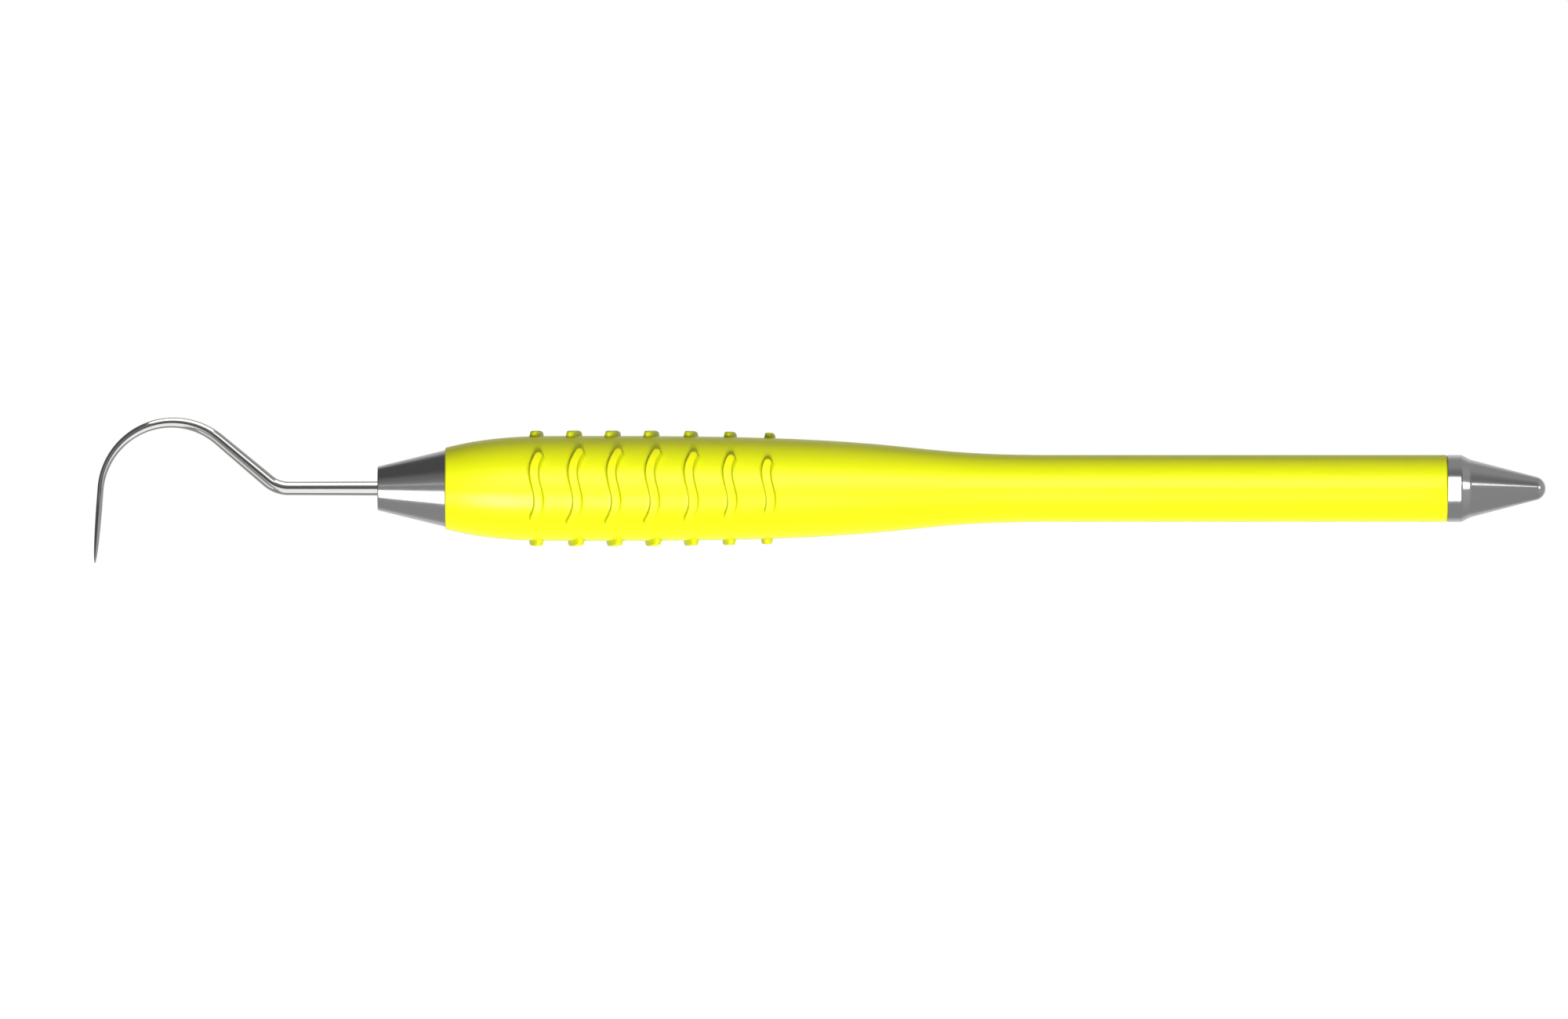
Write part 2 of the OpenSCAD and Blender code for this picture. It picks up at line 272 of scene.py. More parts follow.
def turned(name, outline, around=144, thread=None, ring=False):
    """Surface turned about the handle's axis: (x, r cos a, r sin a) for each [station, radius] point.

    thread(x, a) is subtracted from the radius, so a helix can be cut into the surface.
    """
    a = np.linspace(0, 2 * math.pi, around, endpoint=False)[None, :]
    x = np.broadcast_to(outline[:, :1], (len(outline), around))
    r = outline[:, 1:] + np.zeros_like(a)
    if thread:
        r = r - thread(x, a)
    return skin(name, np.stack([x + FRONT_FACE, r * np.cos(a), r * np.sin(a)], -1), ring)


def ridge(sizes, low, high):
    """Depth of a right-hand thread's groove at station x and angle a, between two stations.

    With p = x / pitch - a / one turn, the ridge is where p is whole. The groove's wall falls straight from a
    narrow flat crest to a flat root halfway between ridges, and the groove fades out at both ends.
    """
    def depth(x, a):
        off_ridge = 1 - np.abs(2 * np.mod(x / sizes.thread_pitch - a / (2 * math.pi), 1) - 1)
        fade_in = smoothstep(low, low + sizes.thread_pitch / 2, x)
        fade_out = 1 - smoothstep(high - sizes.thread_pitch, high, x)
        steepness, crest = 1.3, 0.15
        return sizes.thread_depth * np.clip(steepness * off_ridge - crest, 0, 1) * (fade_in * fade_out)
    return depth


def sleeve_radius(sizes, s):
    """Radius of the bare sleeve at station s.

    From the lip it swells as lip + (belly - lip) (1 - (1 - s / swell length)^power), stays at the belly's
    radius, and narrows into the shaft along a cubic curve whose handles run along the axis.
    """
    rise = 1 - (1 - np.clip(s / sizes.swell_length, 0, 1)) ** sizes.swell_power
    swell = sizes.lip_radius + (sizes.belly_radius - sizes.lip_radius) * rise
    t = np.linspace(0, 1, 600)
    weights = np.stack([(1 - t) ** 3, 3 * t * (1 - t) ** 2, 3 * t ** 2 * (1 - t), t ** 3], -1)
    stations = weights @ np.array([sizes.neck_start, sizes.neck_start + sizes.pull_front,
                                   sizes.neck_end - sizes.pull_rear, sizes.neck_end])
    radii = weights @ np.array([sizes.belly_radius, sizes.belly_radius, SHAFT_RADIUS, SHAFT_RADIUS])
    return np.where(s < sizes.neck_start, swell, np.interp(s, stations, radii))


# Half of the angle that each rib of a row spans, from the front rib to the rear one
RIB_HALF_ANGLES = np.radians([38.5, 43.5, 43.5, 43, 39.5, 36, 31])

# Distance from a rib's middle line at which the rings' even spacing starts, and the rings on its flat top
RIB_MARGIN = 1.0 * MM
TOP_RINGS = np.array([0.09, 0.18, 0.27]) * MM


def rib_section(ribs):
    """[distance from a rib's middle line, height] points of half a rib's section.

    A flat top, a round edge, a wall that leans out by the draft, and a small fillet at the foot.
    """
    top, bottom = (ribs.width - ribs.draft) / 2, (ribs.width + ribs.draft) / 2
    a = np.radians(np.linspace(0, 80, 6))
    edge = np.stack([top - ribs.edge_round * (1 - np.sin(a)),
                     ribs.height - ribs.edge_round * (1 - np.cos(a))], -1)
    b = np.radians(np.linspace(10, 90, 5))
    foot = np.stack([bottom + ribs.foot_round * (1 - np.cos(b)), ribs.foot_round * (1 - np.sin(b))], -1)
    return np.concatenate([[[0, ribs.height]], edge, foot])


def ring_stations(sleeve, ribs, stations, section):
    """Stations of the outside's rings, close together on each rib's top, edge, wall and foot."""
    lip_rings, gap_rings, neck_rings, shaft_rings = 16, 6, 40, 14
    off = np.concatenate([TOP_RINGS, section[1:, 0]])
    beside = np.concatenate([-off[::-1], [0], off])
    between = np.linspace(RIB_MARGIN, ribs.pitch - RIB_MARGIN, gap_rings)
    ribbed = np.sort(np.concatenate([(stations[:, None] + beside).ravel(),
                                     (stations[:-1, None] + between).ravel()]))
    return np.concatenate([
        np.linspace(sleeve.lip_round, ribs.first - RIB_MARGIN, lip_rings), ribbed,
        np.linspace(stations[-1] + RIB_MARGIN, sleeve.neck_end, neck_rings),
        np.linspace(sleeve.neck_end, SLEEVE_LENGTH - sleeve.lip_round, shaft_rings)[1:]])


def column_angles(sector, reach):
    """Angles of the outside's columns in one row's sector, for ribs whose end lines stand at angle reach.

    The columns are laid out for an end line at 40 degrees: wide apart along the rib, close together round
    its end, and wide apart again in the gap. Those along the rib are then scaled by reach / 40 degrees, and
    the others are spread evenly over what is left of the sector.
    """
    end_line = math.radians(40)
    along_rib, round_end = np.arange(0, 35.8, 2.75), np.arange(36.6, 47.5, 0.42)
    in_gap = np.linspace(48.5, math.degrees(sector), 5)[:-1]
    half = np.radians(np.concatenate([along_rib, round_end, in_gap]))
    laid_out = np.concatenate([-half[:0:-1], half, [sector]])
    inner = laid_out * reach / end_line
    past = (np.abs(laid_out) - end_line) * (sector - reach) / (sector - end_line)
    return np.where(np.abs(laid_out) < end_line, inner, np.sign(laid_out) * (reach + past))


def ribbed_outside(sleeve, ribs):
    """Grid over one row's sector of the outside: station, radius, angle, painted shade and painted highlight
    of each point.

    The rings are carried along the ribs' own curve, x = s + lean a / wave - sway sin(2 pi a / wave), where a
    is the angle from the middle of the row, so that a ring runs along each rib's wall. The curve dies out in
    the gap between the rows and towards both ends of the ribbed part. A rib's height follows its section by
    the distance to its middle line, and past the line's end by the distance to that end, which is measured
    along and across the line's slant there so that the end is round. The edge and wall are wider there by
    the end spread. The painted shade, a deeper yellow where shade falls, is 1 on a rib's walls and at its
    foot, and the painted highlight, a brighter yellow, is 1 on its flat top.
    """
    section = rib_section(ribs)
    stations = ribs.first + ribs.pitch * np.arange(len(RIB_HALF_ANGLES))
    s = ring_stations(sleeve, ribs, stations, section)[:, None]
    sector = math.pi / ribs.rows
    end_angle = math.asin(ribs.width / 2 / sleeve.belly_radius)
    a = column_angles(sector, np.interp(s, stations, RIB_HALF_ANGLES) - end_angle)

    clear, run_in, run_out, gap_start = 2 * MM, 1.5 * MM, 12 * MM, math.radians(46)
    fade_in = smoothstep(run_in, stations[0] - clear, s)
    fade_out = 1 - smoothstep(stations[-1] + clear, stations[-1] + run_out, s)
    window = 1 - smoothstep(gap_start, sector, np.abs(a))
    curve = ribs.lean * a / ribs.wave - ribs.sway * np.sin(2 * math.pi * a / ribs.wave)
    x = s + fade_in * fade_out * window * curve

    nearest = np.clip(np.round((s - ribs.first) / ribs.pitch).astype(int), 0, len(stations) - 1)
    off_line = s - stations[nearest]
    past_line = (np.abs(a) - (RIB_HALF_ANGLES[nearest] - end_angle)) * sleeve_radius(sleeve, x)
    slant = (ribs.lean - 2 * math.pi * ribs.sway * np.cos(2 * math.pi * a / ribs.wave)) / ribs.wave
    slant = slant / sleeve.belly_radius
    past_end = np.maximum(np.sign(a) * off_line * slant + past_line * (1 + slant ** 2), 0)
    off_middle = np.hypot(off_line, past_end)
    top, foot = (ribs.width - ribs.draft) / 2, section[-1, 0]
    flat = top - ribs.edge_round
    tiny, foot_shade = 0.01 * MM, 0.1 * MM
    spread = 1 + ribs.end_spread * (past_end / np.maximum(off_middle, tiny)) ** 2
    off_middle = np.where(off_middle > flat, flat + (off_middle - flat) / spread, off_middle)

    r = sleeve_radius(sleeve, x) + np.interp(off_middle, section[:, 0], section[:, 1])
    # Painted shade: rises over a rib's edge rounding, is 1 on its wall and foot, and fades to 0 just past the
    # foot
    painted_shade = np.interp(off_middle, [flat, top, foot, foot + foot_shade], [0, 1, 1, 0])
    # Painted highlight: 1 on a rib's flat top, fading to 0 over its edge rounding
    painted_highlight = np.interp(off_middle, [flat, top], [1, 0])
    return x, r, a, painted_shade, painted_highlight


def plain_outline(sleeve):
    """Outline of the rest of the sleeve: rear lip, inside wall and front lip.

    A lip's edge is a quarter circle, lip (sin q, cos q) from its centre. The inside is the tube's radius plus
    the former's share of the sleeve's swell.
    """
    q = np.radians(np.linspace(0, 90, 6))
    lip = sleeve.lip_round
    front_radius = float(sleeve_radius(sleeve, np.array(lip)))
    rear_lip = np.stack([SLEEVE_LENGTH - lip * (1 - np.sin(q)), SHAFT_RADIUS - lip * (1 - np.cos(q))], -1)
    front_lip = np.stack([lip * (1 - np.sin(q)), front_radius - lip * (1 - np.cos(q))], -1)[::-1]
    former = np.linspace(FORMER_END, FLANGE_THICKNESS, 24)
    wall = TUBE_RADIUS + sleeve.former_share * (sleeve_radius(sleeve, former) - SHAFT_RADIUS)
    return np.concatenate([
        rear_lip[1:],
        [[SLEEVE_LENGTH, TUBE_RADIUS + EDGE_HOLD], [SLEEVE_LENGTH, TUBE_RADIUS]],
        [[SLEEVE_LENGTH - EDGE_HOLD, TUBE_RADIUS], [FORMER_END, TUBE_RADIUS]],
        np.stack([former, wall], -1),
        [[FLANGE_THICKNESS, FLANGE_RADIUS], [EDGE_HOLD, FLANGE_RADIUS], [0, FLANGE_RADIUS]],
        [[0, front_lip[0, 1] - EDGE_HOLD]],
        front_lip[:-1]])


def sleeve_rows(sleeve, ribs):
    """Grid over the whole sleeve, outside and in, and the painted shade and painted highlight of its points
    by name.

    The outside is one row's sector repeated round the axis. Each point is (x, r sin a, r cos a).
    """
    x, r, a, painted_shade, painted_highlight = ribbed_outside(sleeve, ribs)
    row_middles = ribs.turn + 2 * math.pi / ribs.rows * np.arange(ribs.rows)
    a = np.concatenate([a + middle for middle in row_middles], axis=1)
    x, r, painted_shade, painted_highlight = (np.tile(values, ribs.rows) for values in (x, r, painted_shade, painted_highlight))
    plain = plain_outline(sleeve)
    plain_x, plain_r = (np.repeat(plain[:, k:k + 1], x.shape[1], axis=1) for k in (0, 1))
    x = np.concatenate([x, plain_x])
    r = np.concatenate([r, plain_r])
    a = np.concatenate([a, np.repeat(a[-1:], len(plain), axis=0)])
    shares = {"painted_shade": painted_shade, "painted_highlight": painted_highlight}
    shares = {name: np.concatenate([share, np.zeros(plain_x.shape)]) for name, share in shares.items()}
    return np.stack([x + FRONT_FACE, r * np.sin(a), r * np.cos(a)], -1), shares


def wire_rows(hook):
    """Grid over the wire: a round section carried along its path, which lies in the XY plane.

    The path runs out of the cone along -X, turns up through the first bend, runs straight, turns down over
    the arch and ends in the straight blade. Its heading h is the angle above -X, so it moves along
    (-cos h, sin h), and a point of the section at angle a is off the path by r cos a along (sin h, cos h)
    and r sin a along Z. The radius falls as run^1.2 down to the blade, and along the blade as
    sqrt(1 - v^2.5), so that it comes to a point. Here v is the share of the blade's length. The blade's
    section changes over its first third from round to a square with rounded corners, one of which faces up
    as a ground ridge.
    """
    tangent = hook.bend_radius * math.tan(hook.rise / 2)
    slant = hook.slant_length - tangent
    shank = hook.shank_length - tangent
    down = hook.rise - hook.arch_turn

    def ahead(h):
        return np.stack([-np.cos(h), np.sin(h)], -1)

    def across(h):
        return np.stack([np.sin(h), np.cos(h)], -1)

    shank_rings, bend_rings, slope_rings, arch_rings, blade_rings, around = 12, 17, 10, 90, 60, 64
    squareness, fully_ground = 0.75, 0.35
    beside_face = 2 * EDGE_HOLD
    tang = np.array([[-CONE_LENGTH + hook.tang_length, 0], [-CONE_LENGTH + beside_face, 0]])
    start = np.array([-CONE_LENGTH - shank, 0])
    h_bend = np.linspace(0, hook.rise, bend_rings)
    bend = start + hook.bend_radius * (np.array([0, 1]) - across(h_bend))
    slant_run = np.linspace(0, slant, slope_rings)[1:, None]
    slope = bend[-1] + slant_run * ahead(np.array(hook.rise))
    h_arch = np.linspace(hook.rise, down, arch_rings)[1:]
    centre = slope[-1] - hook.arch_radius * across(np.array(hook.rise))
    arch = centre + hook.arch_radius * across(h_arch)
    v = np.sin(np.linspace(0, math.pi / 2, blade_rings))[1:-1]
    blade = arch[-1] + (v * hook.blade_length)[:, None] * ahead(np.array(down))

    taper_length = slant + hook.arch_radius * hook.arch_turn
    run = np.concatenate([slant_run[:, 0], slant + hook.arch_radius * (hook.rise - h_arch)])
    taper = hook.bend_wire_radius - (hook.bend_wire_radius - hook.blade_radius) * (run / taper_length) ** 1.2
    straight = start + np.linspace(shank - beside_face, 0, shank_rings)[:-1, None] * np.array([1, 0])
    thin = np.linspace(hook.wire_radius, hook.bend_wire_radius, len(straight))
    path = np.concatenate([tang, straight, bend, slope, arch, blade])
    heading = np.concatenate([np.zeros(len(tang) + len(straight)), h_bend, np.full(len(slope), hook.rise),
                              h_arch, np.full(len(blade), down)])
    radius = np.concatenate([np.full(len(tang), hook.wire_radius), thin,
                             np.full(len(bend), hook.bend_wire_radius), taper,
                             hook.blade_radius * np.sqrt(1 - v ** 2.5)])
    ground = np.concatenate([np.zeros(len(path) - len(v)), smoothstep(0, fully_ground, v)])[:, None]

    a = np.linspace(0, 2 * math.pi, around, endpoint=False)[None, :]
    facet = np.mod(a, math.pi / 2) - math.pi / 4
    square = math.cos(math.pi / 4) / np.cos(facet)
    r = radius[:, None] * (1 + squareness * ground * (square - 1))
    n = across(heading)[:, None, :]
    flat = path[:, None, :] + n * (r * np.cos(a))[..., None]
    return np.stack([flat[..., 0] + FRONT_FACE, flat[..., 1], r * np.sin(a)], -1)


# Materials --------------------------------------------------------------------------------------------

def add(tree, kind, settings=(), links=()):
    """Adds a node. settings holds its attributes and its inputs' values, and links what is joined to it."""
    node = tree.nodes.new(kind)
    for key, value in dict(settings).items():
        if isinstance(key, int) or key in node.inputs:
            node.inputs[key].default_value = value
        else:
            setattr(node, key, value)
    for key, output in dict(links).items():
        tree.links.new(output, node.inputs[key])
    return node


def blank(name):
    """A new material with its tree and its shader."""
    finish = bpy.data.materials.new(name)
    finish.use_nodes = True
    return finish, finish.node_tree, finish.node_tree.nodes["Principled BSDF"]


def settle(shader, **values):
    """Sets plain values on the shader's own sockets. An underscore in a name stands for a space."""
    for key, value in values.items():
        shader.inputs[key.replace("_", " ")].default_value = value


def satin_silicone(finishes):
    """Moulded silicone rubber from a finely blasted mould: a satin skin with a broad soft gloss.

    The mould's grain is about 0.06 mm and is drawn at 0.25 mm, because it wouldn't show at its real size. A
    faint clouding of the pigment over about 6 mm keeps the colour from looking painted on. A painted
    highlight, a brighter yellow, lies on the ribs' flat tops, and painted shade, a deeper yellow, lies on
    their narrow walls and feet, which draws their outlines.
    """
    finish, tree, shader = blank("satin silicone")
    place = add(tree, "ShaderNodeTexCoord").outputs["Object"]
    cloud = add(tree, "ShaderNodeTexNoise", {"Scale": 1 / (6 * MM), "Detail": 2.0}, {"Vector": place})
    tint = add(tree, "ShaderNodeMix", {"data_type": "RGBA", 6: finishes.silicone, 7: finishes.silicone_shade},
               {0: cloud.outputs["Fac"]})
    # Painted highlight: the ribs' flat tops are mixed towards a brighter yellow
    painted_highlight = add(tree, "ShaderNodeAttribute", {"attribute_name": "painted_highlight"}).outputs["Fac"]
    highlit = add(tree, "ShaderNodeMix", {"data_type": "RGBA", 7: finishes.silicone_painted_highlight},
                 {0: painted_highlight, 6: tint.outputs[2]})
    # Painted shade: the ribs' walls and feet are mixed towards a deeper yellow
    painted_shade = add(tree, "ShaderNodeAttribute", {"attribute_name": "painted_shade"}).outputs["Fac"]
    deep = add(tree, "ShaderNodeMix", {"data_type": "RGBA", 7: finishes.silicone_painted_shade},
               {0: painted_shade, 6: highlit.outputs[2]})
    grain = add(tree, "ShaderNodeTexNoise", {"Scale": 1 / (0.25 * MM), "Detail": 3.0}, {"Vector": place})
    rough = add(tree, "ShaderNodeMapRange", {"To Min": 0.26, "To Max": 0.34}, {"Value": grain.outputs["Fac"]})
    bump = add(tree, "ShaderNodeBump", {"Strength": 0.06, "Distance": 0.02 * MM},
               {"Height": grain.outputs["Fac"]})
    tree.links.new(deep.outputs[2], shader.inputs["Base Color"])
    tree.links.new(rough.outputs["Result"], shader.inputs["Roughness"])
    tree.links.new(bump.outputs["Normal"], shader.inputs["Normal"])
    settle(shader, IOR=1.41, Specular_IOR_Level=0.35)
    return finish


def polished_wire(finishes):
    """Drawn and polished stainless wire: bright, with hair-fine streaks along its length.

    Real streaks are finer than 0.05 mm. They are drawn about 0.1 mm wide and 4 mm long, so that they show,
    in the wire's own map, where U is the share of a turn and V is in millimetres.
    """
    finish, tree, shader = blank("polished stainless wire")
    own_map = add(tree, "ShaderNodeTexCoord").outputs["UV"]
    streaks_round, streak_length = 60, 4
    stretch = add(tree, "ShaderNodeMapping", {"Scale": (streaks_round, 1 / streak_length, 1)},
                  {"Vector": own_map})
    streaks = add(tree, "ShaderNodeTexNoise", {"Scale": 1.0, "Detail": 4.0},
                  {"Vector": stretch.outputs["Vector"]})
    rough = add(tree, "ShaderNodeMapRange", {"To Min": 0.1, "To Max": 0.14},
                {"Value": streaks.outputs["Fac"]})
    tree.links.new(rough.outputs["Result"], shader.inputs["Roughness"])
    settle(shader, Base_Color=finishes.wire, Metallic=1.0)
    return finish


def turned_steel(name, base, smooth, coarse, feed):
    """Turned stainless steel: rings round the axis from the tool's feed, polished nearly away.

    The rings' spacing is the feed, in metres, and they change over 30 mm across the axis. A second noise,
    2 mm across, varies the polish a little.
    """
    finish, tree, shader = blank(name)
    place = add(tree, "ShaderNodeTexCoord").outputs["Object"]
    scale = (1 / feed, 1 / (30 * MM), 1 / (30 * MM))
    stretch = add(tree, "ShaderNodeMapping", {"Scale": scale}, {"Vector": place})
    rings = add(tree, "ShaderNodeTexNoise", {"Scale": 1.0, "Detail": 3.0},
                {"Vector": stretch.outputs["Vector"]})
    patches = add(tree, "ShaderNodeTexNoise", {"Scale": 1 / (2 * MM), "Detail": 2.0}, {"Vector": place})
    both = add(tree, "ShaderNodeMath", {"operation": "MULTIPLY"},
               {0: rings.outputs["Fac"], 1: patches.outputs["Fac"]})
    rough = add(tree, "ShaderNodeMapRange", {"From Max": 0.6, "To Min": smooth, "To Max": coarse},
                {"Value": both.outputs["Value"]})
    bump = add(tree, "ShaderNodeBump", {"Strength": 0.06, "Distance": 0.004 * MM},
               {"Height": rings.outputs["Fac"]})
    tree.links.new(rough.outputs["Result"], shader.inputs["Roughness"])
    tree.links.new(bump.outputs["Normal"], shader.inputs["Normal"])
    settle(shader, Base_Color=base, Metallic=1.0)
    return finish


def seal_rubber(finishes):
    """Moulded O-ring rubber: nearly black, with a dull skin and a fine bloom of about 0.3 mm."""
    finish, tree, shader = blank("moulded seal rubber")
    place = add(tree, "ShaderNodeTexCoord").outputs["Object"]
    bloom = add(tree, "ShaderNodeTexNoise", {"Scale": 1 / (0.3 * MM), "Detail": 3.0}, {"Vector": place})
    rough = add(tree, "ShaderNodeMapRange", {"To Min": 0.45, "To Max": 0.65}, {"Value": bloom.outputs["Fac"]})
    tree.links.new(rough.outputs["Result"], shader.inputs["Roughness"])
    settle(shader, Base_Color=finishes.seal, IOR=1.5)
    return finish


def moulded_former(finishes):
    """Moulded polyphenylsulfone: a warm grey engineering plastic with a spark-eroded grain of 0.3 mm."""
    finish, tree, shader = blank("moulded polyphenylsulfone")
    place = add(tree, "ShaderNodeTexCoord").outputs["Object"]
    grain = add(tree, "ShaderNodeTexNoise", {"Scale": 1 / (0.3 * MM), "Detail": 3.0}, {"Vector": place})
    rough = add(tree, "ShaderNodeMapRange", {"To Min": 0.4, "To Max": 0.55}, {"Value": grain.outputs["Fac"]})
    bump = add(tree, "ShaderNodeBump", {"Strength": 0.15, "Distance": 0.02 * MM},
               {"Height": grain.outputs["Fac"]})
    tree.links.new(rough.outputs["Result"], shader.inputs["Roughness"])
    tree.links.new(bump.outputs["Normal"], shader.inputs["Normal"])
    settle(shader, Base_Color=finishes.former, IOR=1.67)
    return finish


def shared(name, make):
    """The material of that name, made by make() the first time it is asked for."""
    return bpy.data.materials.get(name) or make()


def turned_stainless(finishes):
    """The finish of the front cone and the end cap, with a feed of 0.12 mm."""
    return shared("turned stainless steel", lambda: turned_steel(
        "turned stainless steel", finishes.turned, 0.12, 0.24, 0.12 * MM))


def bush_stainless(finishes):
    """The finish of the bushes, less polished and with a feed of 0.2 mm."""
    return shared("turned bush steel", lambda: turned_steel(
        "turned bush steel", finishes.tube, 0.22, 0.38, 0.2 * MM))


# Pieces -----------------------------------------------------------------------------------------------

def finish_piece(piece, finish, body, node):
    """Gives a piece its material and its body, and lets it stand for its CAD node."""
    piece.data.materials.append(finish)
    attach(piece, body)
    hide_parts(node)


def neck_radius(sizes):
    """Radius of a spigot's plain neck, which the seal sits on."""
    return sizes.thread_radius - 2 * sizes.running_gap


def spigot_outline(sizes, face, side):
    """Outline of a spigot from its shoulder inwards: the seal's neck, the thread and a bevelled end.

    side is 1 for the spigot that goes into the front end and -1 for the one that goes into the rear end.
    """
    crest = sizes.thread_radius
    root = crest - sizes.thread_depth
    neck = [0, EDGE_HOLD, FLANGE_THICKNESS - EDGE_HOLD, FLANGE_THICKNESS]
    thread_rings = 110
    rows = np.linspace(THREAD_START, THREAD_END - 2 * EDGE_HOLD, thread_rings)
    depths = np.concatenate([neck, rows, [THREAD_END, SPIGOT_LENGTH, SPIGOT_LENGTH]])
    radii = np.concatenate([np.full(len(neck), neck_radius(sizes)), np.full(len(rows), crest),
                            [root + EDGE_HOLD, root, root / 2]])
    return np.stack([face + side * depths, radii], -1)


class HANDSCALER_OT_sleeve(bpy.types.Operator):
    """Make the silicone sleeve with its ribs"""
    bl_idname = "hand_scaler.sleeve"
    bl_label = "Sleeve"

    def execute(self, context):
        settings = context.scene.hand_scaler
        rows, shares = sleeve_rows(settings.sleeve, settings.ribs)
        piece = skin("sleeve_with_ribs", rows, ring=True)
        # Stores the painted shade and painted highlight as point attributes for the silicone's colour
        for name, share in shares.items():
            attribute = piece.data.attributes.new(name, "FLOAT", "POINT")
            attribute.data.foreach_set("value", share.astype(np.float32).ravel())
        finish_piece(piece, satin_silicone(settings.finishes), "handle", "grip_sleeve")
        return {"FINISHED"}


class HANDSCALER_OT_hook(bpy.types.Operator):
    """Make the wire hook with its ground blade"""
    bl_idname = "hand_scaler.hook"
    bl_label = "Hook"

    def execute(self, context):
        settings = context.scene.hand_scaler
        piece = skin("wire_hook", wire_rows(settings.hook))
        finish_piece(piece, polished_wire(settings.finishes), "working_end", "hook_wire")
        return {"FINISHED"}


class HANDSCALER_OT_front_cone(bpy.types.Operator):
    """Make the cone that holds the wire, with its threaded spigot"""
    bl_idname = "hand_scaler.front_cone"
    bl_label = "Front cone"

    def execute(self, context):
        settings = context.scene.hand_scaler
        sizes, hook = settings.turned, settings.hook
        bottom = hook.tang_length - CONE_LENGTH
        outside = rounded([
            (bottom, hook.wire_radius / 2, 0), (bottom, hook.wire_radius, 0),
            (-CONE_LENGTH, hook.wire_radius, 0.06 * MM), (-CONE_LENGTH, sizes.cone_front_radius, 0.14 * MM),
            (0, CONE_BASE_RADIUS, 0.05 * MM), (0, neck_radius(sizes), 0)])[:-1]
        outline = np.concatenate([outside, spigot_outline(sizes, 0, 1)])
        piece = turned("wire_cone", outline, thread=ridge(sizes, THREAD_START, THREAD_END))
        finish_piece(piece, turned_stainless(settings.finishes), "working_end", "front_cone")
        return {"FINISHED"}


class HANDSCALER_OT_end_cap(bpy.types.Operator):
    """Make the end cap: collar, bevel, cone, round nose and threaded spigot"""
    bl_idname = "hand_scaler.end_cap"
    bl_label = "End cap"

    def execute(self, context):
        settings = context.scene.hand_scaler
        sizes = settings.turned
        bevel = SLEEVE_LENGTH + sizes.collar_length + sizes.bevel_length
        centre = SLEEVE_LENGTH + CAP_LENGTH - sizes.nose_radius
        far = math.hypot(sizes.bevel_radius, centre - bevel)
        slope = math.atan2(sizes.bevel_radius, centre - bevel) - math.asin(sizes.nose_radius / far)
        a = np.linspace(0, math.pi / 2 - slope, 24)
        nose = np.stack([centre + sizes.nose_radius * np.cos(a), sizes.nose_radius * np.sin(a)], -1)
        sides = rounded([
            (*nose[-1], 0), (bevel, sizes.bevel_radius, 0.2 * MM),
            (SLEEVE_LENGTH + sizes.collar_length, SHAFT_RADIUS, 0.15 * MM),
            (SLEEVE_LENGTH, SHAFT_RADIUS, 0.08 * MM), (SLEEVE_LENGTH, neck_radius(sizes), 0)])[1:-1]
        outline = np.concatenate([nose[1:], sides, spigot_outline(sizes, SLEEVE_LENGTH, -1)])
        cut = ridge(sizes, SLEEVE_LENGTH - THREAD_END, SLEEVE_LENGTH - THREAD_START)
        piece = turned("nose_cap", outline, thread=cut)
        finish_piece(piece, turned_stainless(settings.finishes), "cap", "end_cap")
        return {"FINISHED"}


class HANDSCALER_OT_seals(bpy.types.Operator):
    """Make the two seals, each with the fine flash line that its mould leaves"""
    bl_idname = "hand_scaler.seals"
    bl_label = "Seals"

    def execute(self, context):
        settings = context.scene.hand_scaler
        sizes = settings.turned
        middle = sizes.thread_radius - sizes.running_gap + sizes.seal_section
        b = np.linspace(0, 2 * math.pi, 48, endpoint=False)
        flash_height, flash_width = 0.02 * MM, 0.08
        flash = flash_height * np.exp(-(np.sin(b) / flash_width) ** 2)
        section = sizes.seal_section - flash_height + flash
        rubber = seal_rubber(settings.finishes)
        for name, body, node, station in (
                ("front_o_ring", "tip_seal", "front_seal", FLANGE_THICKNESS / 2),
                ("rear_o_ring", "cap_seal", "rear_seal", SLEEVE_LENGTH - FLANGE_THICKNESS / 2)):
            outline = np.stack([station + section * np.sin(b), middle + section * np.cos(b)], -1)
            finish_piece(turned(name, outline, around=96, ring=True), rubber, body, node)
        return {"FINISHED"}


